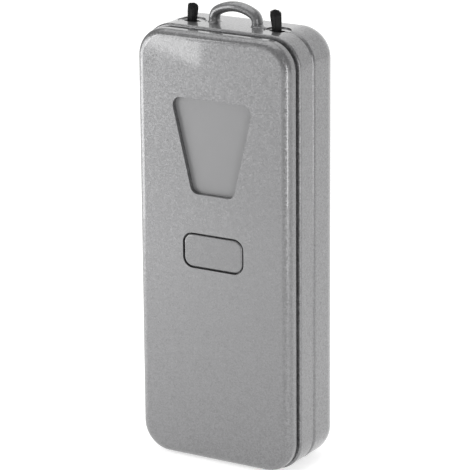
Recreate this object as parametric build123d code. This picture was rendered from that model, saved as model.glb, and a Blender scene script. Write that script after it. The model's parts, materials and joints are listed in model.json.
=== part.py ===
from build123d import *
import math
import os

# Wearable negative-ion air purifier, in millimetres.
# X runs across the width, the button face looks along -Y and +Z is up.
# The origin is under the middle of the housing, on the surface that it stands on.

# ---- housing ----
height = 80.0
width = 32.1
depth = 17.1
corner_radius = 5.8
front_cover_depth = 3.4
frame_depth = 4.4
front_inset = 0.4
front_wall = 1.2
frame_wall = 1.6
back_wall = 1.5
front_edge_round = 1.5
groove_round = 0.8
back_edge_round = 4.0
lip_round = 0.7
frame_front_round = 0.4
frame_rear_round = 0.2
seam_gap = 0.28
groove_gap = 0.3

# ---- spigots that locate the covers in the frame ----
spigot_wall = 0.9
spigot_clearance = 0.1
spigot_reach = 1.3
spigot_root = 1.8

# ---- indicator window ----
window_top_width = 17.0
window_bottom_width = 8.6
window_height = 17.4
window_bottom_height = 50.4
window_corner = 1.6
window_recess = 0.9
window_lip = 0.8
lens_flange = 0.6
diffuser_thickness = 0.6
diffuser_margin = 0.9

# ---- power button and its switch ----
button_width = 12.0
button_height = 6.0
button_corner = 1.7
button_centre_height = 39.9
button_gap = 0.3
button_edge_round = 0.3
button_flange_lip = 0.7
button_flange = 0.5
button_travel = 0.3
button_play = 0.1
stem_radius = 1.1
plunger_radius = 0.9
plunger_clearance = 0.06
switch_size = 4.5
switch_height = 0.9
switch_cover_thickness = 0.12
plunger_height = 0.4

# ---- circuit board and what it carries ----
board_side_clearance = 0.65
board_thickness = 1.0
board_end_clearance = 0.6
board_margin = 2.4
socket_width = 7.5
socket_thickness = 2.5
socket_length = 5.4
socket_wall = 0.3
socket_recess = 0.5
socket_clearance = 0.2
tongue_thickness = 0.6
led_size = 1.6
led_height = 0.7
led_spacing = 5.0
led_height_above_base = 59.0

# ---- screws ----
screw_spacing_x = 20.8
screw_inset_bottom = 9.0
screw_inset_top = 8.8
screw_radius = 0.8
screw_head_radius = 1.45
screw_head_height = 1.0
screw_slot_width = 0.35
screw_clearance = 0.15
boss_radius = 1.8
ear_size = 4.2
ear_thickness = 1.8

# ---- battery ----
battery_width = 22.0
battery_height = 34.0
battery_room = 3.6
battery_bottom = 6.0
battery_round = 1.4
battery_pad = 2.2
guard_height = 2.4
guard_thickness = 3.0
lead_radius = 0.45
lead_spacing = 2.4
lead_bend = 1.5
header_width = 7.0
header_height = 4.2
header_depth = 2.6
plug_height = 2.2

# ---- high-voltage module ----
module_width = 20.0
module_height = 20.8
module_depth = 8.0
module_inset_top = 11.2
module_wall = 1.0
module_tape = 0.3
module_lead_spacing = 12.0
potting_recess = 0.6
high_voltage_lead_radius = 0.65
high_voltage_lead_spacing = 10.0

# ---- brush emitters ----
brush_spacing = 17.6
dish_radius = 2.5
dish_depth = 0.22
slot_length = 3.0
slot_width = 1.5
brush_base_width = 1.7
brush_base_depth = 1.15
brush_tip_width = 2.4
brush_tip_depth = 1.35
brush_neck_radius = 0.55
left_brush_reach = 3.1
right_brush_reach = 3.65
left_brush_lean = 0.3
right_brush_lean = -0.35
ferrule_radius = 0.95
ferrule_length = 3.0
holder_width = 5.0
holder_depth = 3.2
holder_height = 2.6
holder_clearance = 0.02

# ---- lanyard loop ----
loop_spacing = 8.8
loop_reach = 4.05
loop_bar_width = 1.85
loop_bar_depth = 2.4
loop_corner_radius = 1.6
loop_corner_turn = 60.0
loop_offset = 0.75
loop_plate_width = 11.2
loop_plate_depth = 3.4
loop_flange_width = 12.6
loop_flange_depth = 5.0
loop_flange_thickness = 1.0

# ---- snap beads and locating ribs along the sides ----
bead_heights = (24.0, 56.0)
bead_length = 5.0
bead_radius = 0.45
rib_height_above_base = 20.3
rib_length = 1.4

# ---- planes that follow from the sizes above ----
front_face = -depth / 2
back_face = depth / 2
frame_front = front_face + front_cover_depth
frame_rear = frame_front + frame_depth
cover_rear = frame_front - groove_gap
back_front = frame_rear + seam_gap
front_inner = front_face + front_wall
back_inner = back_face - back_wall
socket_centre = (frame_front + frame_rear) / 2 + 0.15
board_rear = socket_centre - socket_thickness / 2
board_front = board_rear - board_thickness
top_inner = height - frame_wall
frame_inner_width = width - 2 * frame_wall
spigot_outer_width = frame_inner_width - 2 * spigot_clearance
spigot_inset = frame_wall + spigot_clearance + spigot_wall
screw_low = screw_inset_bottom
screw_high = height - screw_inset_top
board_width = width - 2 * spigot_inset - 2 * board_side_clearance
board_bottom = spigot_inset + board_end_clearance
board_top = screw_high + board_margin
battery_thickness = back_inner - battery_pad - board_rear - battery_room
brush_depth = (frame_rear + back_front) / 2
loop_depth = frame_rear + loop_offset
module_bottom = height - module_inset_top - module_height
button_rest_flange = front_inner + button_play
switch_front = board_front - switch_height
plunger_tip = switch_front - plunger_height
window_middle = window_bottom_height + window_height / 2


def facing(depth_at, x=0.0, z=0.0):
    """A drawing plane across the body at one depth: its own x is X, its own y is Z."""
    return Plane(origin=(x, depth_at, z), x_dir=(1, 0, 0), z_dir=(0, -1, 0))


def slab(across, high, radius, front, rear, z_middle, x_middle=0.0):
    """A plate with a rounded-rectangle outline, from one depth to another."""
    outline = RectangleRounded(across, high, radius)
    return extrude(facing(rear, x_middle, z_middle) * outline, amount=rear - front)


def housing_slab(inset, front, rear):
    """The housing's outline, drawn in by inset, from one depth to another."""
    radius = corner_radius - inset
    return slab(width - 2 * inset, height - 2 * inset, radius, front, rear, height / 2)


def block(x_low, x_high, y_low, y_high, z_low, z_high):
    """A plain block between two corners."""
    size = (x_high - x_low, y_high - y_low, z_high - z_low)
    centre = ((x_low + x_high) / 2, (y_low + y_high) / 2, (z_low + z_high) / 2)
    return Pos(*centre) * Box(*size)


def rod_along_depth(radius, front, rear, x, z):
    """A round rod along Y."""
    return extrude(facing(rear, x, z) * Circle(radius), amount=rear - front)


def upright(radius, low, high, x, y):
    """A round rod along Z."""
    base = Plane(origin=(x, y, low), x_dir=(1, 0, 0), z_dir=(0, 0, 1))
    return extrude(base * Circle(radius), amount=high - low)


def face_edges(solid, axis, last):
    """The edges of the outermost face along an axis."""
    return solid.faces().sort_by(axis)[-1 if last else 0].outer_wire().edges()


def window_outline(grow=0.0):
    """The tapered window, grown on every side: a trapezium with rounded corners."""
    slope = (window_top_width - window_bottom_width) / 2 / window_height
    side = grow * math.sqrt(1 + slope**2)
    top = window_height / 2 + grow
    half_top = window_top_width / 2 + side + slope * grow
    half_bottom = window_bottom_width / 2 + side - slope * grow
    corners = [(-half_top, top), (-half_bottom, -top), (half_bottom, -top), (half_top, top)]
    return fillet(make_face(Polyline(*corners, close=True)).vertices(), window_corner + grow)


def window_slab(grow, front, rear):
    """A plate with the window's outline."""
    return extrude(facing(rear, 0, window_middle) * window_outline(grow), amount=rear - front)


def screw_places():
    """The four screws: x and z of each."""
    half = screw_spacing_x / 2
    return [(x, z) for z in (screw_low, screw_high) for x in (-half, half)]


def brush_places():
    """The two emitters: name, x, reach above the top face and sideways lean at the tip."""
    half = brush_spacing / 2
    left = ("left", -half, left_brush_reach, left_brush_lean)
    right = ("right", half, right_brush_reach, right_brush_lean)
    return [left, right]


def spigot_ring(front, rear, outer_width):
    """A thin wall just inside the frame's opening."""
    outer_inset = (width - outer_width) / 2
    return housing_slab(outer_inset, front, rear) - housing_slab(spigot_inset, front, rear)


def socket_room(front, rear):
    """The way past the charging socket, cut through whatever crosses it."""
    half = socket_width / 2 + socket_clearance + 0.4
    return block(-half, half, front, rear, -1.0, socket_recess + socket_length + 1.0)


def front_cover():
    outer = housing_slab(front_inset, front_face, cover_rear)
    outer = fillet(face_edges(outer, Axis.Y, False), front_edge_round)
    outer = fillet(face_edges(outer, Axis.Y, True), groove_round)
    shell = outer - housing_slab(front_inset + front_wall, front_inner, cover_rear)
    root_inset = front_inset + front_wall - 0.1
    root = spigot_ring(cover_rear - spigot_root, cover_rear, width - 2 * root_inset)
    reach = spigot_ring(cover_rear, cover_rear + spigot_reach, spigot_outer_width)
    shell = shell + root + reach
    for x, z in screw_places():
        shell = shell + rod_along_depth(boss_radius, front_inner, board_front, x, z)
    for x, z in screw_places():
        shell = shell - rod_along_depth(screw_radius, front_inner + 0.3, board_front, x, z)
    shell = shell - window_slab(0.0, front_face, front_inner)
    hole_width = button_width + 2 * button_gap
    hole_height = button_height + 2 * button_gap
    hole_corner = button_corner + button_gap
    hole = slab(hole_width, hole_height, hole_corner, front_face, front_inner, button_centre_height)
    return shell - hole - socket_room(board_front, cover_rear + spigot_reach)


def emitter_cut(x):
    """A shallow round dish in the top face, with a stadium-shaped slot through its floor for the brush."""
    base = Plane(origin=(x, brush_depth, top_inner), x_dir=(1, 0, 0), z_dir=(0, 0, 1))
    slot = extrude(base * SlotOverall(slot_length, slot_width), amount=frame_wall)
    return slot + upright(dish_radius, height - dish_depth, height, x, brush_depth)


def loop_pocket():
    """The room that the loop's plate takes in the top wall."""
    half_x = loop_plate_width / 2
    half_y = loop_plate_depth / 2
    low = loop_depth - half_y
    return block(-half_x, half_x, low, low + 2 * half_y, top_inner - 1.0, height)


def snap_bead(side, z, radius):
    """A round bead along a side wall, half of it standing out of the spigot."""
    x = side * spigot_outer_width / 2
    y = back_front - spigot_reach / 2
    return upright(radius, z - bead_length / 2, z + bead_length / 2, x, y)


def mid_frame():
    ring = housing_slab(0.0, frame_front, frame_rear)
    ring = fillet(face_edges(ring, Axis.Y, False), frame_front_round)
    ring = fillet(face_edges(ring, Axis.Y, True), frame_rear_round)
    ring = ring - housing_slab(frame_wall, frame_front, frame_rear)
    for name, x, reach, lean in brush_places():
        ring = ring - emitter_cut(x)
    for x, z in screw_places():
        side = math.copysign(1, x)
        inner = abs(x) - ear_size / 2
        x_pair = sorted((side * inner, side * (frame_inner_width / 2 + 0.2)))
        ear = block(*x_pair, board_rear, board_rear + ear_thickness, z - ear_size / 2, z + ear_size / 2)
        hole_radius = screw_radius + screw_clearance
        ring = ring + ear - rod_along_depth(hole_radius, board_rear, board_rear + ear_thickness, x, z)
    for side in (-1, 1):
        for z in bead_heights:
            ring = ring - snap_bead(side, z, bead_radius + spigot_clearance)
    opening_width = socket_width + 2 * socket_clearance
    opening_high = socket_thickness + 2 * socket_clearance
    mouth = Plane(origin=(0, socket_centre, 0), x_dir=(1, 0, 0), z_dir=(0, 0, 1))
    opening = extrude(mouth * RectangleRounded(opening_width, opening_high, 0.7), amount=frame_wall)
    return ring - opening - loop_pocket()


def back_cover():
    outer = housing_slab(0.0, back_front, back_face)
    outer = fillet(face_edges(outer, Axis.Y, True), back_edge_round)
    outer = fillet(face_edges(outer, Axis.Y, False), lip_round)
    inner = housing_slab(back_wall, back_front, back_inner)
    inner = fillet(face_edges(inner, Axis.Y, True), back_edge_round - back_wall)
    shell = outer - inner
    root = spigot_ring(back_front, back_front + spigot_root, width - 2 * back_wall + 0.2)
    reach = spigot_ring(back_front - spigot_reach, back_front, spigot_outer_width)
    half = brush_spacing / 2 + holder_width / 2 + 1.4
    top_gap = block(-half, half, frame_front, back_front + spigot_root, height / 2, height)
    shell = shell + (root - top_gap) + (reach - top_gap)
    for side in (-1, 1):
        for z in bead_heights:
            shell = shell + snap_bead(side, z, bead_radius)
        rib_low = rib_height_above_base - rib_length / 2
        x_pair = sorted((side * (width / 2 - 0.15), side * (width / 2 - back_wall)))
        rib = block(*x_pair, frame_rear, back_front + lip_round, rib_low, rib_low + rib_length)
        shell = shell + rib
    for name, x, reach_above, lean in brush_places():
        shell = shell - emitter_cut(x)
    return shell - loop_pocket() - socket_room(frame_front, back_front)


def lanyard_loop():
    """A ring of elliptical bar: two legs, a tight arc at each shoulder and one wide arc over the top."""
    half = loop_spacing / 2
    turn = math.radians(loop_corner_turn)
    wide = loop_corner_radius + (half - loop_corner_radius) / math.cos(turn)
    rise = loop_corner_radius * math.sin(turn) + wide * (1 - math.sin(turn))
    crown = height + loop_reach - loop_bar_width / 2
    spring_line = crown - rise
    plate_low = height - frame_wall
    path_plane = facing(loop_depth)
    shoulder_x = half - loop_corner_radius * (1 - math.cos(turn))
    shoulder_z = spring_line + loop_corner_radius * math.sin(turn)
    corner_mid = turn / 2
    mid_x = half - loop_corner_radius * (1 - math.cos(corner_mid))
    mid_z = spring_line + loop_corner_radius * math.sin(corner_mid)
    left_leg = Line((-half, plate_low + 0.2), (-half, spring_line))
    left_arc = ThreePointArc((-half, spring_line), (-mid_x, mid_z), (-shoulder_x, shoulder_z))
    crown_arc = ThreePointArc((-shoulder_x, shoulder_z), (0, crown), (shoulder_x, shoulder_z))
    right_arc = ThreePointArc((shoulder_x, shoulder_z), (mid_x, mid_z), (half, spring_line))
    right_leg = Line((half, spring_line), (half, plate_low + 0.2))
    path = path_plane * (left_leg + left_arc + crown_arc + right_arc + right_leg)
    start = Plane(origin=(-half, loop_depth, plate_low + 0.2), x_dir=(1, 0, 0), z_dir=(0, 0, 1))
    bar = sweep(start * Ellipse(loop_bar_width / 2, loop_bar_depth / 2), path=path)
    half_x = loop_plate_width / 2
    half_y = loop_plate_depth / 2
    plate = block(-half_x, half_x, loop_depth - half_y, loop_depth + half_y, plate_low, height)
    flange_x = loop_flange_width / 2
    flange_y = loop_flange_depth / 2
    flange_low = plate_low - loop_flange_thickness
    y_pair = (loop_depth - flange_y, loop_depth + flange_y)
    flange = block(-flange_x, flange_x, *y_pair, flange_low, plate_low)
    return plate + flange + bar


def indicator_window():
    lens_front = front_face + window_recess
    plug = window_slab(-0.03, lens_front, front_inner)
    flange = window_slab(window_lip, front_inner, front_inner + lens_flange)
    for x, z in screw_places():
        reach = boss_radius + 0.15
        flange = flange - rod_along_depth(reach, front_inner, front_inner + lens_flange, x, z)
    return plug + flange


def light_diffuser():
    front = front_inner + lens_flange
    return window_slab(-diffuser_margin, front, front + diffuser_thickness)


def power_button():
    """A flush cap, a flange that stops behind the cover and a short stem over the switch."""
    cap = slab(button_width, button_height, button_corner, front_face, button_rest_flange, button_centre_height)
    cap = fillet(face_edges(cap, Axis.Y, False), button_edge_round)
    wide = button_width + 2 * (button_gap + button_flange_lip)
    high = button_height + 2 * (button_gap + button_flange_lip)
    flange_rear = button_rest_flange + button_flange
    corner = button_corner + button_gap + button_flange_lip
    flange = slab(wide, high, corner, button_rest_flange, flange_rear, button_centre_height)
    stem = rod_along_depth(stem_radius, flange_rear, plunger_tip, 0, button_centre_height)
    return cap + flange + stem


def switch_plunger():
    seat = switch_front + button_travel + 0.15
    return rod_along_depth(plunger_radius, plunger_tip, seat, 0, button_centre_height)


def switch_body():
    front = switch_front + switch_cover_thickness
    base = slab(switch_size, switch_size, 0.4, front, board_front, button_centre_height)
    bore = rod_along_depth(
        plunger_radius + plunger_clearance, front, board_front - 0.1, 0, button_centre_height
    )
    return base - bore


def switch_cover():
    rear = switch_front + switch_cover_thickness
    plate = slab(switch_size - 0.4, switch_size - 0.4, 0.3, switch_front, rear, button_centre_height)
    radius = plunger_radius + plunger_clearance
    return plate - rod_along_depth(radius, switch_front, rear, 0, button_centre_height)


def main_board():
    middle = (board_bottom + board_top) / 2
    board = slab(board_width, board_top - board_bottom, 1.5, board_front, board_rear, middle)
    for x, z in screw_places():
        board = board - rod_along_depth(screw_radius + screw_clearance, board_front, board_rear, x, z)
    return board


def status_leds():
    """Three light-emitting diodes side by side behind the window."""
    leds = []
    for step in (-1, 0, 1):
        x = step * led_spacing
        z = led_height_above_base
        half = led_size / 2
        leds.append(block(x - half, x + half, board_front - led_height, board_front, z - half, z + half))
    return Compound(children=leds)


def chip(across, high, thick, x, z):
    """A moulded package on the rear of the board, with its marking edge bevelled."""
    rear = board_rear + thick
    body = block(x - across / 2, x + across / 2, board_rear, rear, z - high / 2, z + high / 2)
    return chamfer(body.faces().sort_by(Axis.Y)[-1].edges(), 0.15)


def capacitors():
    """A column of ceramic capacitors beside the charging chip."""
    parts = []
    for step in range(4):
        z = 12.5 + 3.0 * step
        parts.append(block(7.4, 8.6, board_rear, board_rear + 1.1, z, z + 2.0))
    return Compound(children=parts)


def resistors():
    """Two rows of small chip resistors by the controller."""
    parts = []
    for row in range(2):
        for step in range(4):
            x = -9.6 + 1.6 * row
            z = 26.0 + 2.4 * step
            parts.append(block(x, x + 0.8, board_rear, board_rear + 0.5, z, z + 1.6))
    return Compound(children=parts)


def boost_inductor():
    """A shielded power inductor: a square base under a round ferrite drum."""
    base = block(3.4, 8.4, board_rear, board_rear + 0.8, 29.0, 34.0)
    return base + rod_along_depth(2.4, board_rear + 0.8, board_rear + 2.6, 5.9, 31.5)


def socket_slab(grow, low, high):
    """A round-cornered tube section of the charging socket, standing along Z."""
    base = Plane(origin=(0, socket_centre, low), x_dir=(1, 0, 0), z_dir=(0, 0, 1))
    outline = RectangleRounded(socket_width + 2 * grow, socket_thickness + 2 * grow, 0.6 + grow / 2)
    return extrude(base * outline, amount=high - low)


def charging_socket_shell():
    low = socket_recess
    high = low + socket_length
    return socket_slab(0.0, low, high) - socket_slab(-socket_wall, low, high - 1.2)


def charging_socket_tongue():
    low = socket_recess + 0.6
    high = socket_recess + socket_length - 1.2
    half_y = tongue_thickness / 2
    half_x = socket_width / 2 - 1.5
    return block(-half_x, half_x, socket_centre - half_y, socket_centre + half_y, low, high)


def charging_contacts():
    """Five spring contacts along the rear of the socket's tongue."""
    low = socket_recess + 0.9
    high = socket_recess + socket_length - 1.2
    y = socket_centre + tongue_thickness / 2
    contacts = []
    for step in range(-2, 3):
        x = step * 0.8
        contacts.append(block(x - 0.2, x + 0.2, y, y + 0.12, low, high))
    return Compound(children=contacts)


def battery_rear():
    return back_inner - battery_pad


def battery_cell():
    front = battery_rear() - battery_thickness
    z_pair = (battery_bottom, battery_bottom + battery_height)
    cell = block(-battery_width / 2, battery_width / 2, front, battery_rear(), *z_pair)
    return fillet(cell.edges().filter_by(Axis.Z), battery_round)


def battery_pad_sheet():
    """The foam adhesive pad that holds the cell to the back cover."""
    half = battery_width / 2 - 2.0
    z_pair = (battery_bottom + 3.0, battery_bottom + battery_height - 3.0)
    return block(-half, half, battery_rear(), back_inner, *z_pair)


def guard_middle():
    return battery_rear() - battery_thickness / 2


def battery_guard_board():
    """The protection board across the cell's terminals, under its tape."""
    half = battery_width / 2 - 2.0
    low = battery_bottom + battery_height
    half_y = guard_thickness / 2
    y_pair = (guard_middle() - half_y, guard_middle() + half_y)
    return block(-half, half, *y_pair, low, low + guard_height)


def header_top():
    return battery_bottom + battery_height - 1.4


def header_middle():
    return board_rear + header_depth / 2


def battery_header():
    """The white connector on the board, open at its top."""
    half = header_width / 2
    low = header_top() - header_height
    y_pair = (board_rear, board_rear + header_depth)
    shell = block(-half, half, *y_pair, low, header_top())
    y_pair = (board_rear + 0.4, board_rear + header_depth - 0.4)
    return shell - block(0.5 - half, half - 0.5, *y_pair, low + 0.8, header_top())


def battery_plug():
    """The plug in the header, which stands a little proud of it."""
    half = header_width / 2 - 0.55
    low = header_top() - header_height + 0.85
    y_pair = (board_rear + 0.45, board_rear + header_depth - 0.45)
    return block(-half, half, *y_pair, low, header_top() + 0.8)


def lead(points, radii, radius):
    """A round insulated lead along straight runs joined by tangent arcs."""
    path = FilletPolyline(*points, radius=radii)
    start = Plane(origin=path @ 0, z_dir=path % 0)
    body = sweep(start * Circle(radius), path=path)
    straight = path.length * math.pi * radius**2
    if abs(body.volume - straight) > 0.02 * straight:
        raise ValueError("a lead's volume doesn't match its length")
    return body


def battery_lead(x):
    low = battery_bottom + battery_height + guard_height
    peak = low + lead_bend + lead_radius
    bottom = header_top() + 0.8
    points = [(x, guard_middle(), low), (x, guard_middle(), peak), (x, header_middle(), peak)]
    points.append((x, header_middle(), bottom))
    return lead(points, [lead_bend, lead_bend], lead_radius)


def module_front():
    return board_rear + module_tape


def module_block(inset, low, high, front, rear):
    half = module_width / 2 - inset
    return block(-half, half, front, rear, low, high)


def module_case():
    front = module_front()
    rear = front + module_depth
    low = module_bottom
    high = low + module_height
    shell = module_block(0.0, low, high, front, rear)
    shell = fillet(shell.edges().filter_by(Axis.Y), 0.8)
    room = module_block(module_wall, low + module_wall, high - module_wall, front + module_wall, rear)
    shell = shell - room
    for side in (-1, 1):
        shell = shell - upright(high_voltage_lead_radius, high - module_wall, high, *high_voltage_exit(side))
        shell = shell - upright(lead_radius, low, low + module_wall, *module_input(side))
    return shell


def module_potting():
    """The epoxy block that fills the case, with the transformer and multiplier cast inside it."""
    front = module_front() + module_wall
    rear = module_front() + module_depth - potting_recess
    low = module_bottom + module_wall
    high = module_bottom + module_height - module_wall
    return module_block(module_wall, low, high, front, rear)


def module_tape_sheet():
    half = module_width / 2 - 2.0
    z_pair = (module_bottom + 2.0, module_bottom + module_height - 2.0)
    return block(-half, half, board_rear, module_front(), *z_pair)


def high_voltage_exit(side):
    return side * high_voltage_lead_spacing / 2, module_front() + module_depth * 0.55


def module_input(side):
    return side * module_lead_spacing / 2, module_front() + module_depth * 0.3


def module_lead(side):
    """An input lead: out of the case's lower wall and forward to the board."""
    x, y = module_input(side)
    turn = module_bottom - lead_bend * 1.35
    points = [(x, y, module_bottom + module_wall), (x, y, turn), (x, board_rear, turn)]
    return lead(points, [lead_bend * 0.8], lead_radius)


def ferrule_low():
    return top_inner - holder_height - 1.2


def high_voltage_lead(side):
    """An output lead: up out of the case and across to the foot of its brush ferrule."""
    x, y = high_voltage_exit(side)
    low = module_bottom + module_height - module_wall
    half = side * brush_spacing / 2
    first = module_bottom + module_height + 1.6
    second = first + 0.9
    points = [(x, y, low), (x, y, first), (half, brush_depth, second), (half, brush_depth, ferrule_low())]
    return lead(points, [1.3, 1.3], high_voltage_lead_radius)


def brush_ferrule(x):
    """A brass tube crimped on the lead's end and the fibre bundle."""
    tube = upright(ferrule_radius, ferrule_low(), ferrule_low() + ferrule_length, x, brush_depth)
    return tube - upright(brush_neck_radius, ferrule_low() + 0.6, ferrule_low() + ferrule_length, x, brush_depth)


def brush_holder(x):
    """The insulating block under the top wall that grips the ferrule."""
    half_x = holder_width / 2
    half_y = holder_depth / 2
    y_pair = (brush_depth - half_y, brush_depth + half_y)
    body = block(x - half_x, x + half_x, *y_pair, top_inner - holder_height, top_inner)
    body = body & housing_slab(frame_wall + holder_clearance, *y_pair)
    bore = upright(ferrule_radius, top_inner - holder_height, top_inner, x, brush_depth)
    return body - bore


def section(x, z, across, deep):
    """An oval cross-section of a brush at one height."""
    plane = Plane(origin=(x, brush_depth, z), x_dir=(1, 0, 0), z_dir=(0, 0, 1))
    return plane * Ellipse(across / 2, deep / 2)


def carbon_brush(x, reach, lean):
    """A bundle of fibres: round in the ferrule, then an oval tuft that spreads to its tip."""
    shoulder = ferrule_low() + ferrule_length
    neck = upright(brush_neck_radius, ferrule_low() + 0.6, shoulder, x, brush_depth)
    round_end = section(x, shoulder, 2 * brush_neck_radius, 2 * brush_neck_radius)
    at_face = section(x, height, brush_base_width, brush_base_depth)
    tip = section(x + lean, height + reach, brush_tip_width, brush_tip_depth)
    lower = loft([round_end, at_face])
    upper = loft([at_face, tip])
    return neck + lower + upper


def screws():
    """Four slotted pan-head screws, driven from the rear."""
    group = []
    head_front = board_rear + ear_thickness
    for x, z in screw_places():
        shank = rod_along_depth(screw_radius, front_inner + 0.8, head_front, x, z)
        head = rod_along_depth(screw_head_radius, head_front, head_front + screw_head_height, x, z)
        head = fillet(face_edges(head, Axis.Y, True), 0.35)
        half = screw_slot_width / 2
        rear = head_front + screw_head_height
        for across, high in ((0.95, half), (half, 0.95)):
            head = head - block(x - across, x + across, rear - 0.5, rear, z - high, z + high)
        group.append(shank + head)
    return Compound(children=group)


def parts():
    """Every node: its name and its solid."""
    nodes = {
        "front_cover": front_cover(),
        "mid_frame": mid_frame(),
        "back_cover": back_cover(),
        "lanyard_loop": lanyard_loop(),
        "indicator_window": indicator_window(),
        "light_diffuser": light_diffuser(),
        "power_button": power_button(),
        "switch_plunger": switch_plunger(),
        "switch_body": switch_body(),
        "switch_cover": switch_cover(),
        "main_board": main_board(),
        "status_leds": status_leds(),
        "control_chip": chip(4.2, 5.2, 1.2, -3.4, 30.0),
        "charging_chip": chip(3.0, 3.0, 0.9, 3.6, 15.0),
        "capacitors": capacitors(),
        "resistors": resistors(),
        "boost_inductor": boost_inductor(),
        "charging_socket_shell": charging_socket_shell(),
        "charging_socket_tongue": charging_socket_tongue(),
        "charging_contacts": charging_contacts(),
        "battery_cell": battery_cell(),
        "battery_pad": battery_pad_sheet(),
        "battery_guard_board": battery_guard_board(),
        "battery_header": battery_header(),
        "battery_plug": battery_plug(),
        "battery_lead_positive": battery_lead(lead_spacing / 2),
        "battery_lead_negative": battery_lead(-lead_spacing / 2),
        "module_case": module_case(),
        "module_potting": module_potting(),
        "module_tape": module_tape_sheet(),
        "module_lead_positive": module_lead(1),
        "module_lead_negative": module_lead(-1),
        "high_voltage_lead_left": high_voltage_lead(-1),
        "high_voltage_lead_right": high_voltage_lead(1),
        "case_screws": screws(),
    }
    for name, x, reach, lean in brush_places():
        nodes["brush_ferrule_" + name] = brush_ferrule(x)
        nodes["brush_holder_" + name] = brush_holder(x)
        nodes["carbon_brush_" + name] = carbon_brush(x, reach, lean)
    return nodes


os.makedirs("parts", exist_ok=True)
for node_name, solid in parts().items():
    export_step(solid, os.path.join("parts", node_name + ".step"))
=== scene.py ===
import json
import math

import bpy
import numpy as np
from bpy.props import FloatProperty, FloatVectorProperty, IntProperty, PointerProperty
from mathutils import Matrix, Vector


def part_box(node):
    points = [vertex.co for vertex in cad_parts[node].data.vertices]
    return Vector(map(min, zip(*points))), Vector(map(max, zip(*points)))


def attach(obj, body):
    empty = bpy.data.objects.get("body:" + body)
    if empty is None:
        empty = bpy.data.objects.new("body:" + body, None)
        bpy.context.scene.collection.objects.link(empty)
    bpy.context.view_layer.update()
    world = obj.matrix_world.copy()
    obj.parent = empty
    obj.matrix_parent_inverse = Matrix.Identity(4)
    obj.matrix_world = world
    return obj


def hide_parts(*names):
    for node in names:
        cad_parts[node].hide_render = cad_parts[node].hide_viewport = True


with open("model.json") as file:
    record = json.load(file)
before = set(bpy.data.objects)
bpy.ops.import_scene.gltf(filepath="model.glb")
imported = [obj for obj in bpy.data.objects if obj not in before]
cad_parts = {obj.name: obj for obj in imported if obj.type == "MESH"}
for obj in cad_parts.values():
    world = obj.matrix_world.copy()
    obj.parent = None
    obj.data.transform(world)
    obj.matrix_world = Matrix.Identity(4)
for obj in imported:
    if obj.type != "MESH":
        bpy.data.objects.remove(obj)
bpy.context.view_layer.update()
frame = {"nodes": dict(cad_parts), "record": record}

bl_info = {
    "name": "Wearable Ioniser",
    "version": (1, 0, 0),
    "blender": (4, 5, 0),
    "location": "View3D > Sidebar > Ioniser",
    "description": "Finishes, carbon brushes and studio for a wearable negative-ion air purifier",
    "category": "Object",
}

NODES = frame["nodes"]
SLOT_OF = {part["node"]: part["material_slot"] for part in frame["record"]["subparts"]}
MM = 0.001
# The floor lies just under the base, so that the two faces don't share a plane.
FLOOR = -0.05 * MM
FLOOR_HALF = 3.0
FIBRE_ROWS = 9

# Each softbox: name, middle, direction that it faces, width and height, and its setting.
SOFTBOXES = (
    ("key_softbox", (-0.1913, -0.2245, 0.1076), (-0.505, 0.863, 0), (0.2, 0.16), "key_strength"),
    ("fill_softbox", (-0.14, -0.09, 0.06), (0.84, 0.54, 0), (0.09, 0.12), "fill_strength"),
    ("top_softbox", (-0.05, 0.02, 0.42), (0.1, -0.05, -1), (0.4, 0.4), "top_strength"),
    ("back_softbox", (0.05, 0.62, 0.33), (-0.03, -0.62, -0.2), (1.6, 0.58), "back_strength"),
    ("strip_light", (0.16, -0.11, 0.06), (-0.82, 0.56, 0), (0.05, 0.12), "strip_strength"),
)


def srgb(code):
    """A hex colour such as #9C9C9C as the linear colour that a shader takes."""
    channels = [int(code[i:i + 2], 16) / 255 for i in (1, 3, 5)]
    return tuple(c / 12.92 if c <= 0.04045 else ((c + 0.055) / 1.055) ** 2.4 for c in channels)


def colour_setting(name, description, code):
    """A colour that the sidebar shows as a swatch."""
    return FloatVectorProperty(
        name=name, description=description, default=srgb(code), size=3, subtype="COLOR", min=0.0, max=1.0
    )


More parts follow.
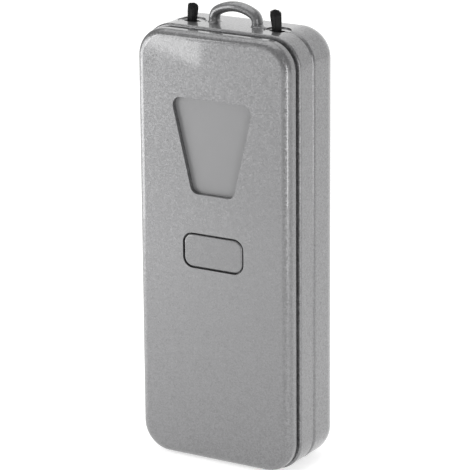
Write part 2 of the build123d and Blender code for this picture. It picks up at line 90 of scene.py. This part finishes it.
class IoniserSettings(bpy.types.PropertyGroup):
    """The sizes and strengths that the operators below work from."""

    lacquer_colour: colour_setting("Lacquer", "Base colour of the case's flake lacquer", "#747475")
    button_colour: colour_setting("Button", "Base colour of the button's flake lacquer", "#6F6F70")
    window_colour: colour_setting("Window", "Colour of the indicator window", "#777778")
    strand_colour: colour_setting("Strands", "Colour of the carbon fibre strands", "#1D1D1E")
    floor_colour: colour_setting("Floor", "Colour of the floor under the stage", "#F2F2F2")
    flake_size: FloatProperty(
        name="Flake size",
        description="Width of one metal flake; coarser than the real 0.05 mm so that it still reads",
        default=0.00023, min=0.00005, unit="LENGTH", precision=5,
    )
    flake_tilt: FloatProperty(
        name="Flake tilt", description="How far the flakes lean out of the surface",
        default=0.28, min=0.0, max=1.0,
    )
    flake_contrast: FloatProperty(
        name="Flake contrast", description="Brightness spread between flakes", default=0.19, min=0.0, max=1.0
    )
    fibre_count: IntProperty(
        name="Fibres", description="Fibres drawn in each brush; a real one has several hundred",
        default=420, min=20,
    )
    fibre_radius: FloatProperty(
        name="Fibre radius",
        description="Radius of one drawn fibre; coarser than the real 0.004 mm, so each is a small strand",
        default=0.00004, min=0.00001, unit="LENGTH", precision=6,
    )
    brush_base: FloatVectorProperty(
        name="Brush base", description="Half-widths of a brush at its ferrule, across and in depth",
        default=(0.00082, 0.00055), size=2, unit="LENGTH", precision=6,
    )
    brush_tip: FloatVectorProperty(
        name="Brush tip", description="Half-widths of a brush at its tip, across and in depth",
        default=(0.00108, 0.000555), size=2, unit="LENGTH", precision=6,
    )
    brush_tip_room: FloatProperty(
        name="Room round the tip", description="Space kept for stray fibres inside the brush's box",
        default=0.00012, min=0.0, unit="LENGTH", precision=6,
    )
    brush_start: FloatProperty(
        name="Brush start", description="Depth under the top face at which the fibres begin",
        default=0.0016, min=0.0, unit="LENGTH", precision=5,
    )
    brush_leans: FloatVectorProperty(
        name="Brush leans",
        description="How far the left and the right brush's tips stand to the right of their feet",
        default=(0.0003, -0.00035), size=2, unit="LENGTH", precision=6,
    )
    fibre_seed: IntProperty(name="Fibre seed", description="Seed of the brushes' random numbers", default=11)
    loop_spacing: FloatProperty(
        name="Loop spacing", description="Distance between the middles of the loop's legs",
        default=0.0088, min=0.0, unit="LENGTH", precision=5,
    )
    loop_bar: FloatVectorProperty(
        name="Loop bar", description="Width and depth of the loop's bar", default=(0.00185, 0.0024), size=2,
        unit="LENGTH", precision=5,
    )
    fillet_height: FloatProperty(
        name="Foot fillet height", description="Height of the fillet at each foot of the loop",
        default=0.00055, min=0.0001, unit="LENGTH", precision=5,
    )
    fillet_reach: FloatProperty(
        name="Foot fillet reach", description="How far the fillet runs out over the top face",
        default=0.0005, min=0.0001, unit="LENGTH", precision=5,
    )
    key_strength: FloatProperty(
        name="Key softbox", description="Radiance of the upright softbox at the front left",
        default=4.6, min=0.0,
    )
    fill_strength: FloatProperty(
        name="Fill softbox", description="Radiance of the near softbox on the left", default=3.5, min=0.0
    )
    top_strength: FloatProperty(
        name="Top softbox", description="Radiance of the overhead softbox", default=1.6, min=0.0
    )
    back_strength: FloatProperty(
        name="Back softbox", description="Radiance of the wide softbox behind, seen in the top face",
        default=0.85, min=0.0,
    )
    strip_strength: FloatProperty(
        name="Strip light", description="Radiance of the strip at the front right", default=6.0, min=0.0
    )
    room_strength: FloatProperty(
        name="Room", description="Radiance of the pale room around the stage", default=0.38, min=0.0
    )
    floor_glow: FloatProperty(
        name="Floor glow", description="Radiance that the floor adds of its own", default=0.55, min=0.0
    )
    camera_angles: FloatVectorProperty(
        name="Camera angles", description="Azimuth, elevation and roll of the camera",
        default=[math.radians(angle) for angle in (31.1729, 16.4579, -0.4605)], size=3, unit="ROTATION",
    )
    camera_target: FloatVectorProperty(
        name="Camera target", description="The point that the camera looks at",
        default=(-0.0006534, 0.00015, 0.0410202), size=3, unit="LENGTH", precision=6,
    )
    camera_distance: FloatProperty(
        name="Camera distance", description="Distance from the target",
        default=0.5525477, min=0.05, unit="LENGTH", precision=6,
    )
    camera_focal: FloatProperty(
        name="Camera focal ratio", description="Focal length over the width of the film",
        default=6.524443, min=0.1, precision=6,
    )


# ---- small helpers ----


def settings():
    return bpy.context.scene.ioniser


def add(tree, kind, inputs=None, **options):
    """Adds one node: options are its properties, inputs its socket values or the sockets linked to them."""
    made = tree.nodes.new("ShaderNode" + kind)
    for key, value in options.items():
        setattr(made, key, value)
    for name, value in (inputs or {}).items():
        if isinstance(value, bpy.types.NodeSocket):
            tree.links.new(value, made.inputs[name])
        else:
            made.inputs[name].default_value = value
    return made


def new_material(name):
    """An empty node material with its shader joined to the output."""
    material = bpy.data.materials.new(name)
    material.use_nodes = True
    tree = material.node_tree
    tree.nodes.clear()
    shader = add(tree, "BsdfPrincipled")
    add(tree, "OutputMaterial", {"Surface": shader.outputs["BSDF"]})
    return material, tree, shader


def feed(tree, shader, **values):
    """Sets or links the shader's sockets; an underscore in a name stands for a space."""
    for name, value in values.items():
        socket = shader.inputs[name.replace("_", " ")]
        if isinstance(value, bpy.types.NodeSocket):
            tree.links.new(value, socket)
        else:
            socket.default_value = value


def object_place(tree, stretch=(1.0, 1.0, 1.0)):
    """Object coordinates in metres, stretched along each axis."""
    place = add(tree, "TexCoord").outputs["Object"]
    return add(tree, "Mapping", {"Vector": place, "Scale": stretch}).outputs["Vector"]


def noise(tree, place, size, detail=3.0):
    """Noise whose features are about one size, in metres."""
    made = add(tree, "TexNoise", {"Vector": place, "Scale": 1 / size, "Detail": detail, "Roughness": 0.55})
    return made.outputs["Fac"]


def spread(tree, value, low, high):
    """Carries a value from 0..1 to low..high."""
    return add(tree, "MapRange", {"Value": value, "To Min": low, "To Max": high}).outputs["Result"]


def shaded(tree, colour, value):
    """A colour, or the socket that brings it, with its brightness multiplied by a value."""
    if not isinstance(colour, bpy.types.NodeSocket):
        colour = (*colour, 1.0)
    return add(tree, "HueSaturation", {"Color": colour, "Value": value}).outputs["Color"]


def bump(tree, height, depth, strength=1.0):
    """A normal bent by a height field whose full range is depth metres."""
    return add(tree, "Bump", {"Height": height, "Distance": depth, "Strength": strength}).outputs["Normal"]


def mesh_piece(name, points, faces, material):
    """A smooth-shaded object at the origin from arrays of points and faces."""
    mesh = bpy.data.meshes.new(name)
    mesh.from_pydata(np.asarray(points).reshape(-1, 3).tolist(), [], faces)
    mesh.materials.append(material)
    mesh.polygons.foreach_set("use_smooth", np.ones(len(mesh.polygons), bool))
    mesh.validate()
    piece = bpy.data.objects.new(name, mesh)
    bpy.context.scene.collection.objects.link(piece)
    return piece


def grid_faces(rows, columns):
    """Four-sided faces of a grid that closes on itself along its columns."""
    row = np.arange(rows - 1)[:, None] * columns
    here = np.arange(columns)[None, :]
    after = (here + 1) % columns
    quads = np.stack([row + here, row + after, row + columns + after, row + columns + here], -1)
    return quads.reshape(-1, 4).tolist()


def dress(names, material):
    """Gives CAD nodes a material in place of their plain one."""
    for name in names:
        for slot in NODES[name].material_slots:
            slot.material = material


def nodes_in(slot):
    return [name for name, its_slot in SLOT_OF.items() if its_slot == slot]


# ---- finishes that show from outside ----


def flake_lacquer(name, colour, contrast=1.0):
    """Moulded plastic sprayed with silver flake lacquer under clear coat: each cell of a Voronoi pattern is a
    flake with its own brightness and lean, which gives the sparkling grain; the smooth coat over it gives
    the sharp softbox reflections, and a slow wave in the coat gives the slight orange peel."""
    s = settings()
    material, tree, shader = new_material(name)
    place = object_place(tree)
    flakes = add(tree, "TexVoronoi", {"Vector": place, "Scale": 1 / s.flake_size})
    parts = add(tree, "SeparateXYZ", {"Vector": flakes.outputs["Color"]})
    glint = s.flake_contrast * contrast
    sparkle = spread(tree, parts.outputs["X"], 1 - glint, 1 + glint)
    cloud = spread(tree, noise(tree, place, 2.4 * MM), 0.97, 1.03)
    level = add(tree, "Math", {0: sparkle, 1: cloud}, operation="MULTIPLY").outputs[0]
    lean = add(tree, "VectorMath", {0: flakes.outputs["Color"], 1: (0.5, 0.5, 0.5)}, operation="SUBTRACT")
    lean = add(tree, "VectorMath", {0: lean.outputs[0], "Scale": s.flake_tilt * contrast}, operation="SCALE")
    surface = add(tree, "NewGeometry").outputs["Normal"]
    leaning = add(tree, "VectorMath", {0: surface, 1: lean.outputs[0]}, operation="ADD")
    normal = add(tree, "VectorMath", {0: leaning.outputs[0]}, operation="NORMALIZE").outputs[0]
    peel = bump(tree, noise(tree, place, 1.6 * MM, 1.0), 0.002 * MM)
    smudge = spread(tree, noise(tree, place, 9 * MM), 0.03, 0.075)
    feed(
        tree, shader, Base_Color=shaded(tree, colour, level), Metallic=0.75, Roughness=0.44, Normal=normal,
        Coat_Weight=1.0, Coat_Roughness=smudge, Coat_IOR=1.5, Coat_Normal=peel,
    )
    return material


def window_satin():
    """Fine-blasted window moulding: smooth and satin, with a very fine tooth and no flakes."""
    material, tree, shader = new_material("window_satin")
    place = object_place(tree)
    tone = spread(tree, noise(tree, place, 3.0 * MM), 0.98, 1.02)
    tooth = bump(tree, noise(tree, place, 0.16 * MM, 1.0), 0.004 * MM)
    feed(
        tree, shader, Base_Color=shaded(tree, settings().window_colour, tone), Roughness=0.36, Normal=tooth,
        Coat_Weight=0.35, Coat_Roughness=0.18,
    )
    return material


def carbon_strand():
    """Carbon fibre strands: near black, with a silky streak along each one and small differences in tone."""
    material, tree, shader = new_material("carbon_strand")
    along = object_place(tree, (1.0, 1.0, 0.06))
    tone = spread(tree, noise(tree, along, 0.09 * MM), 0.5, 1.9)
    feed(
        tree, shader, Base_Color=shaded(tree, settings().strand_colour, tone), Metallic=0.1, Roughness=0.46,
        Anisotropic=0.6, Specular_IOR_Level=0.35,
    )
    return material


# ---- finishes inside the case ----


def moulded(name, code, roughness=0.5, grain=0.3, relief=0.008, **more):
    """Injection-moulded plastic: a fine even tooth that dulls the highlight and a faint drift in tone; the
    tooth's grain and relief are in millimetres."""
    material, tree, shader = new_material(name)
    place = object_place(tree)
    tone = spread(tree, noise(tree, place, 2.5 * MM), 0.94, 1.06)
    tooth = bump(tree, noise(tree, place, grain * MM, 2.0), relief * MM)
    dull = spread(tree, noise(tree, place, 1.2 * MM), roughness - 0.06, roughness + 0.06)
    feed(tree, shader, Base_Color=shaded(tree, srgb(code), tone), Roughness=dull, Normal=tooth, **more)
    return material


def metal(name, code, roughness=0.25, stretch=(1.0, 1.0, 0.08), line=0.06):
    """Drawn or plated metal: hair-fine lines along the drawing direction that break up the highlight."""
    material, tree, shader = new_material(name)
    along = object_place(tree, stretch)
    lines = noise(tree, along, line * MM, 2.0)
    tone = spread(tree, noise(tree, object_place(tree), 1.5 * MM), 0.93, 1.05)
    dull = spread(tree, lines, roughness - 0.07, roughness + 0.09)
    feed(
        tree, shader, Base_Color=shaded(tree, srgb(code), tone), Metallic=1.0, Roughness=dull,
        Normal=bump(tree, lines, 0.002 * MM),
    )
    return material


def laminate():
    """Glass-fibre laminate under green solder mask: the weave lifts the mask in a 0.5 mm grid, and the copper
    under it shows as slightly lighter patches."""
    material, tree, shader = new_material("laminate")
    place = object_place(tree)
    threads = {"Vector": place, "Scale": 1 / (0.5 * MM) / (2 * math.pi)}
    over = add(tree, "TexWave", threads, bands_direction="X")
    under = add(tree, "TexWave", threads, bands_direction="Z")
    weave = add(tree, "Math", {0: over.outputs["Fac"], 1: under.outputs["Fac"]}, operation="ADD").outputs[0]
    copper = add(tree, "TexBrick", {
        "Vector": place, "Scale": 1 / (9 * MM), "Color1": (*srgb("#0E5A33"), 1.0),
        "Color2": (*srgb("#125F38"), 1.0), "Mortar": (*srgb("#0A4427"), 1.0), "Mortar Size": 0.03,
    })
    feed(
        tree, shader, Base_Color=shaded(tree, copper.outputs["Color"], spread(tree, weave, 0.93, 1.04)),
        Roughness=0.3, Normal=bump(tree, weave, 0.006 * MM), Coat_Weight=0.4, Coat_Roughness=0.15,
    )
    return material


def pouch_foil():
    """Aluminium-laminate pouch: soft metal under nylon, crumpled in slow folds with a fine dimple; the base
    colour is painted darker in the low parts of the folds, as painted shade.
    """
    material, tree, shader = new_material("pouch_foil")
    place = object_place(tree)
    folds = noise(tree, place, 5 * MM, 4.0)
    dimples = noise(tree, place, 0.4 * MM, 1.0)
    both = add(tree, "Math", {0: dimples, 1: 0.12, 2: folds}, operation="MULTIPLY_ADD").outputs[0]
    # the base colour follows the height of the folds and is darker in their hollows: painted shade
    feed(
        tree, shader, Base_Color=shaded(tree, srgb("#C9CBCE"), spread(tree, folds, 0.92, 1.05)), Metallic=0.9,
        Roughness=spread(tree, dimples, 0.24, 0.4), Normal=bump(tree, both, 0.12 * MM),
    )
    return material


def foam():
    """Open-cell adhesive foam: cells of about 0.35 mm with pores between raised walls; the base colour is
    painted darker towards each cell's middle, as painted shade in the pores.
    """
    material, tree, shader = new_material("foam")
    place = object_place(tree)
    cells = add(tree, "TexVoronoi", {"Vector": place, "Scale": 1 / (0.35 * MM)}).outputs["Distance"]
    # the base colour runs from dark at each cell's middle to light at its walls: painted shade in the pores
    feed(
        tree, shader, Base_Color=shaded(tree, srgb("#343434"), spread(tree, cells, 0.6, 1.3)), Roughness=0.95,
        Normal=bump(tree, cells, 0.05 * MM), Sheen_Weight=0.2,
    )
    return material


def diffuser_sheet():
    """Milky light diffuser: translucent white with light scattered just under the surface."""
    material, tree, shader = new_material("diffuser_sheet")
    place = object_place(tree)
    tone = spread(tree, noise(tree, place, 4 * MM), 0.97, 1.02)
    feed(
        tree, shader, Base_Color=shaded(tree, srgb("#EDEDEA"), tone), Roughness=0.55, Subsurface_Weight=0.6,
        Subsurface_Radius=(0.0012, 0.0012, 0.001),
        Normal=bump(tree, noise(tree, place, 0.2 * MM), 0.004 * MM),
    )
    return material


def finishes_inside():
    """Every slot inside the case and its material."""
    return {
        "diffuser_plastic": diffuser_sheet(),
        "brass": metal("drawn_brass", "#C9A458", 0.24),
        "holder_plastic": moulded("holder_nylon", "#D6D0BF", 0.5),
        "board_laminate": laminate(),
        "chip_plastic": moulded("chip_resin", "#232325", 0.58, 0.12, 0.006),
        "ceramic_body": moulded("fired_ceramic", "#A98B67", 0.42, 0.08, 0.004),
        "ferrite": moulded("sintered_ferrite", "#3A3A3D", 0.66, 0.1, 0.01),
        "led_body": moulded("led_resin", "#F2EFD2", 0.25, 0.4, 0.003, Subsurface_Weight=0.3),
        "connector_plastic": moulded("connector_nylon", "#E8E3D2", 0.42),
        "black_plastic": moulded("black_moulding", "#1B1B1C", 0.45),
        "plated_steel": metal("nickel_plate", "#C4C5C8", 0.22),
        "contact_metal": metal("gold_flash", "#DDB35A", 0.2, (0.08, 1.0, 1.0)),
        "battery_foil": pouch_foil(),
        "foam": foam(),
        "guard_tape": moulded("polyimide_tape", "#B9842C", 0.22, 1.4, 0.02, Coat_Weight=0.6),
        "red_insulation": moulded("red_lead", "#B3211C", 0.38, 0.5, 0.004),
        "black_insulation": moulded("black_lead", "#1C1C1D", 0.38, 0.5, 0.004),
        "white_insulation": moulded("silicone_lead", "#DDDDD8", 0.5, 0.5, 0.004, Subsurface_Weight=0.15),
        "module_plastic": moulded("module_moulding", "#26262A", 0.5),
        "epoxy": moulded("cast_epoxy", "#2B2B2E", 0.16, 3.0, 0.03, Coat_Weight=0.5),
    }


# ---- the brushes ----


def bundle(count, base_radii, tip_radii, lean, low, high, middle, rng):
    """Centre lines of fibres, an array of count by FIBRE_ROWS by 3. A fibre starts at a point of an ellipse,
    spread evenly over its area, and ends at the same share of a larger ellipse that is moved sideways by
    lean. Between them it runs along a curve that leaves the base upright, with a small wave of its own. The
    fibres' heights differ, less in the middle than at the rim, which is lower and falls into three tufts."""
    scatter, waviness = 0.03 * MM, 0.035 * MM
    rim_drop, tuft_drop, ragged_middle, ragged_rim = 0.05, 0.02, 0.04, 0.1
    flare, evenness = 1.35, 1.3
    share = np.sqrt(rng.random(count))
    turn = rng.random(count) * 2 * np.pi
    unit = np.stack([share * np.cos(turn), share * np.sin(turn)], -1)
    t = np.linspace(0, 1, FIBRE_ROWS)[None, :, None]
    base = unit * base_radii
    tip = unit * tip_radii + [lean, 0.0] + rng.normal(0, scatter, (count, 2))
    wave = rng.normal(0, waviness, (count, 1, 2)) * np.sin(np.pi * t * (1 + rng.random((count, 1, 1))))
    across = base[:, None] + (tip - base)[:, None] * t**flare + wave * t
    tufts = tuft_drop * share * (1 + np.sin(3 * turn + 2 * np.pi * rng.random()))
    ragged = (ragged_middle + ragged_rim * share**2) * rng.random(count) ** evenness
    height = 1 - ragged - rim_drop * share**4 - tufts
    up = low + (high - low) * height[:, None, None] * t
    return np.concatenate([across + middle, up], -1)


def fibre_tubes(lines, radius, sides=5):
    """Thin round tubes about centre lines that run mostly upwards: each point of a line gets a ring of points
    about it, level with the ground, narrowing over the last third, and both ends are closed."""
    count, rows, _ = lines.shape
    angle = np.arange(sides) / sides * 2 * np.pi
    ring = np.stack([np.cos(angle), np.sin(angle), np.zeros(sides)], -1) * radius
    narrow = np.interp(np.arange(rows), [0, rows * 0.66, rows - 1], [1.0, 1.0, 0.6])
    points = lines[:, :, None, :] + ring[None, None] * narrow[None, :, None, None]
    one = np.array(grid_faces(rows, sides))
    starts = np.arange(count) * rows * sides
    faces = (one[None] + starts[:, None, None]).reshape(-1, 4).tolist()
    bottoms = (starts[:, None] + np.arange(sides)[::-1]).tolist()
    tops = (starts[:, None] + (rows - 1) * sides + np.arange(sides)).tolist()
    return points, faces + bottoms + tops


def brush(side, lean, material, seed):
    """One carbon-fibre brush, inside the box of its CAD node. It leans towards one side of the box, which its
    tip touches but for the room for stray fibres; fibres past the box are drawn back to its faces."""
    s = settings()
    node = "carbon_brush_" + side
    low, high = (np.array(corner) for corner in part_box(node))
    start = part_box("mid_frame")[1][2] - s.brush_start
    tip_radii = np.array(s.brush_tip)
    tip_reach = tip_radii[0] + s.brush_tip_room
    centre_x = high[0] - tip_reach - lean if lean > 0 else low[0] + tip_reach - lean
    middle = np.array([centre_x, (low[1] + high[1]) / 2])
    rng = np.random.default_rng(seed)
    end = high[2] - 0.02 * MM
    lines = bundle(s.fibre_count, np.array(s.brush_base), tip_radii, lean, start, end, middle, rng)
    edge = s.fibre_radius
    lines[..., :2] = np.clip(lines[..., :2], low[:2] + edge, high[:2] - edge)
    piece = mesh_piece("brush_tuft_" + side, *fibre_tubes(lines, edge), material)
    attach(piece, "housing")
    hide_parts(node)


# ---- the loop's feet ----


def foot_fillet(side, material):
    """A concave fillet between one leg of the loop and the top face: an ellipse about the leg, level with the
    ground, whose two half-widths shrink along a quarter circle as it climbs from the face."""
    s = settings()
    low, high = (np.array(corner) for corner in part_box("lanyard_loop"))
    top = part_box("mid_frame")[1][2]
    middle_y = (low[1] + high[1]) / 2
    half = np.array(s.loop_bar) / 2
    leg_x = side * s.loop_spacing / 2
    rings, points_round, sunk = 9, 48, 0.01 * MM
    a = np.linspace(0, np.pi / 2, rings)
    reach = s.fillet_reach * (1 - np.sin(a)) - sunk
    rise = s.fillet_height * (1 - np.cos(a)) - sunk
    turn = np.linspace(0, 2 * np.pi, points_round, endpoint=False)
    x = leg_x + (half[0] + reach[:, None]) * np.cos(turn)
    y = middle_y + (half[1] + reach[:, None]) * np.sin(turn)
    z = np.broadcast_to((top + rise)[:, None], x.shape)
    name = "loop_fillet_right" if side > 0 else "loop_fillet_left"
    piece = mesh_piece(name, np.stack([x, y, z], -1), grid_faces(rings, points_round), material)
    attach(piece, "housing")


# ---- the studio ----


def softbox(name, middle, facing, size, radiance):
    """An area light of a given radiance that faces along a direction."""
    light = bpy.data.lights.new(name, "AREA")
    light.shape = "RECTANGLE"
    light.size, light.size_y = size
    light.energy = radiance * math.pi * size[0] * size[1]
    lamp = bpy.data.objects.new(name, light)
    aim = Vector(facing).to_track_quat("-Z", "Y")
    lamp.matrix_world = Matrix.Translation(middle) @ aim.to_matrix().to_4x4()
    bpy.context.scene.collection.objects.link(lamp)


def card(name, corners, colour, glow):
    """A flat matt card of the stage that glows evenly as if lit from behind, with a faint paper tooth."""
    material, tree, shader = new_material(name)
    place = object_place(tree)
    tone = spread(tree, noise(tree, place, 30 * MM), 0.99, 1.01)
    feed(
        tree, shader, Base_Color=shaded(tree, colour, tone), Roughness=0.9, Specular_IOR_Level=0.0,
        Normal=bump(tree, noise(tree, place, 1.5 * MM), 0.01 * MM),
        Emission_Color=(*srgb("#FFFFFF"), 1.0), Emission_Strength=glow,
    )
    piece = mesh_piece(name, corners, [[0, 1, 2, 3]], material)


def add_camera():
    """The camera, placed by azimuth, elevation and roll about its target."""
    s = settings()
    azimuth, elevation, roll = s.camera_angles
    back = Vector((
        math.sin(azimuth) * math.cos(elevation), -math.cos(azimuth) * math.cos(elevation), math.sin(elevation)
    ))
    level = Vector((math.cos(azimuth), math.sin(azimuth), 0))
    steep = back.cross(level)
    right = math.cos(roll) * level + math.sin(roll) * steep
    up = math.cos(roll) * steep - math.sin(roll) * level
    data = bpy.data.cameras.new("camera")
    data.lens = s.camera_focal * data.sensor_width
    data.clip_start = 0.01
    camera = bpy.data.objects.new("camera", data)
    turn = Matrix((right, up, back)).transposed().to_4x4()
    camera.matrix_world = Matrix.Translation(Vector(s.camera_target) + back * s.camera_distance) @ turn
    bpy.context.scene.collection.objects.link(camera)
    bpy.context.scene.camera = camera


# ---- operators ----


class IONISER_OT_shells(bpy.types.Operator):
    """Give the case, the loop, the button and the window their finishes"""

    bl_idname = "ioniser.shells"
    bl_label = "Finish the Shells"

    def execute(self, context):
        dress(nodes_in("flake_plastic"), flake_lacquer("flake_lacquer", settings().lacquer_colour))
        dress(nodes_in("button_plastic"), flake_lacquer("button_lacquer", settings().button_colour, 0.9))
        dress(nodes_in("window_plastic"), window_satin())
        return {"FINISHED"}


class IONISER_OT_insides(bpy.types.Operator):
    """Give the circuit board, battery, module and wiring their finishes"""

    bl_idname = "ioniser.insides"
    bl_label = "Finish the Insides"

    def execute(self, context):
        for slot, material in finishes_inside().items():
            dress(nodes_in(slot), material)
        return {"FINISHED"}


class IONISER_OT_brushes(bpy.types.Operator):
    """Build the two carbon-fibre brushes strand by strand"""

    bl_idname = "ioniser.brushes"
    bl_label = "Build the Brushes"

    def execute(self, context):
        strand = carbon_strand()
        dress(nodes_in("carbon_fibre"), strand)
        for step, side in enumerate(("left", "right")):
            brush(side, settings().brush_leans[step], strand, settings().fibre_seed + step)
        return {"FINISHED"}


class IONISER_OT_loop_feet(bpy.types.Operator):
    """Blend the loop's feet into the top face"""

    bl_idname = "ioniser.loop_feet"
    bl_label = "Build the Loop's Foot Fillets"

    def execute(self, context):
        lacquer = bpy.data.materials["flake_lacquer"]
        for side in (-1, 1):
            foot_fillet(side, lacquer)
        return {"FINISHED"}


class IONISER_OT_studio(bpy.types.Operator):
    """Set up the floor, the lights, the room and the camera"""

    bl_idname = "ioniser.studio"
    bl_label = "Build the Studio"

    def execute(self, context):
        s = settings()
        far = FLOOR_HALF
        corners = [(-far, -far, FLOOR), (far, -far, FLOOR), (far, far, FLOOR), (-far, far, FLOOR)]
        card("floor", corners, s.floor_colour, s.floor_glow)
        for name, middle, facing, size, strength in SOFTBOXES:
            softbox(name, middle, facing, size, getattr(s, strength))
        world = bpy.data.worlds.new("room")
        world.use_nodes = True
        background = world.node_tree.nodes["Background"]
        background.inputs["Color"].default_value = (*srgb("#FFFFFF"), 1.0)
        background.inputs["Strength"].default_value = s.room_strength
        context.scene.world = world
        context.scene.view_settings.view_transform = "Standard"
        add_camera()
        return {"FINISHED"}


class IONISER_PT_panel(bpy.types.Panel):
    """Every step of the ioniser's looks, in the order in which they run"""

    bl_label = "Wearable Ioniser"
    bl_idname = "IONISER_PT_panel"
    bl_space_type = "VIEW_3D"
    bl_region_type = "UI"
    bl_category = "Ioniser"

    def draw(self, context):
        for step in STEPS:
            self.layout.operator(step.bl_idname)
        for name in IoniserSettings.__annotations__:
            self.layout.prop(context.scene.ioniser, name)


STEPS = (IONISER_OT_shells, IONISER_OT_insides, IONISER_OT_brushes, IONISER_OT_loop_feet, IONISER_OT_studio)
CLASSES = (IoniserSettings, *STEPS, IONISER_PT_panel)


def register():
    for cls in CLASSES:
        bpy.utils.register_class(cls)
    bpy.types.Scene.ioniser = PointerProperty(type=IoniserSettings)


def unregister():
    del bpy.types.Scene.ioniser
    for cls in reversed(CLASSES):
        bpy.utils.unregister_class(cls)


def main():
    register()
    for step in STEPS:
        group, name = step.bl_idname.split(".")
        getattr(getattr(bpy.ops, group), name)()


if __name__ == "__main__":
    main()
